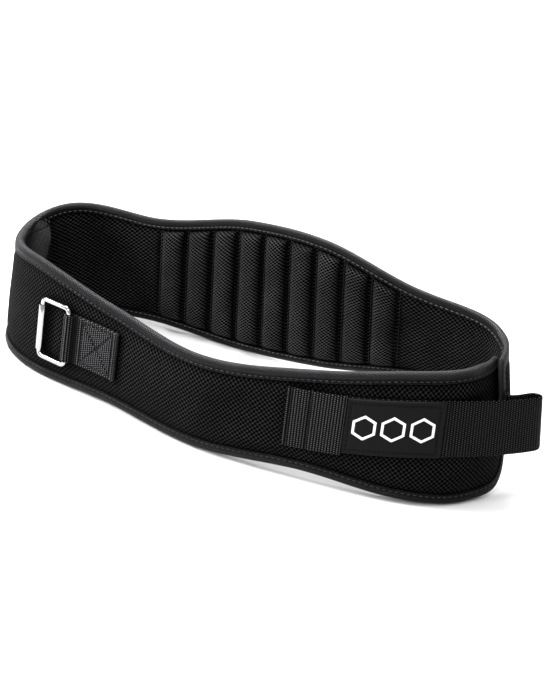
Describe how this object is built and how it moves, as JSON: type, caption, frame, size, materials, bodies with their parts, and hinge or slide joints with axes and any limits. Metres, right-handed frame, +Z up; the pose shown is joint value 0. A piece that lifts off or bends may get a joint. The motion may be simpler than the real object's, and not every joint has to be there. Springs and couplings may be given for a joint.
{
  "type": "weightlifting belt",
  "caption": "Padded foam belt in a standing loop, wide at the back with sewn ribs, edge binding, a roller ring on a webbing loop and a folded closing strap.",
  "frame": {"origin": "middle of the footprint, on the surface it stands on", "axes": "+Z up, +X along the loop's long way towards the folded strap, -Y the side with the ring, label and strap"},
  "size_m": [0.5442, 0.2236, 0.1524],
  "materials": {
    "air_mesh": "black air mesh in a diamond net over foam",
    "rib_mesh": "black fine air mesh over padded ribs",
    "binding_tape": "smooth dark grey folded binding tape with a stitch line",
    "webbing": "black polyester webbing, sewn down",
    "strap_webbing": "black polyester webbing, coarse dotted weave",
    "label": "smooth dark grey soft plastic patch with a sewn border",
    "ring_chrome": "bright nickel-chrome plated wire",
    "roller_chrome": "bright nickel-chrome plated sleeve"
  },
  "bodies": {
    "belt": {"padded_panel": "air_mesh", "edge_binding": "binding_tape", "rib_pad_1": "rib_mesh", "rib_pad_2": "rib_mesh", "rib_pad_3": "rib_mesh", "rib_pad_4": "rib_mesh", "rib_pad_5": "rib_mesh", "rib_pad_6": "rib_mesh", "rib_pad_7": "rib_mesh", "rib_pad_8": "rib_mesh", "rib_pad_9": "rib_mesh", "ring_loop": "webbing", "strap": "strap_webbing", "strap_hem": "strap_webbing", "label_patch": "label"},
    "ring": {"ring_wire": "ring_chrome"},
    "roller": {"ring_roller": "roller_chrome"}
  },
  "joints": [
    {"name": "ring_swing", "type": "hinge", "parent": "belt", "child": "ring", "pos_m": [-0.16311, -0.06156, 0.05274], "axis": [0.0274, 0.11, 0.9936], "range_deg": [0, 150]},
    {"name": "roller_spin", "type": "hinge", "parent": "ring", "child": "roller", "pos_m": [-0.19482, -0.05244, 0.0526], "axis": [0.0274, 0.11, 0.9936], "continuous": true}
  ]
}
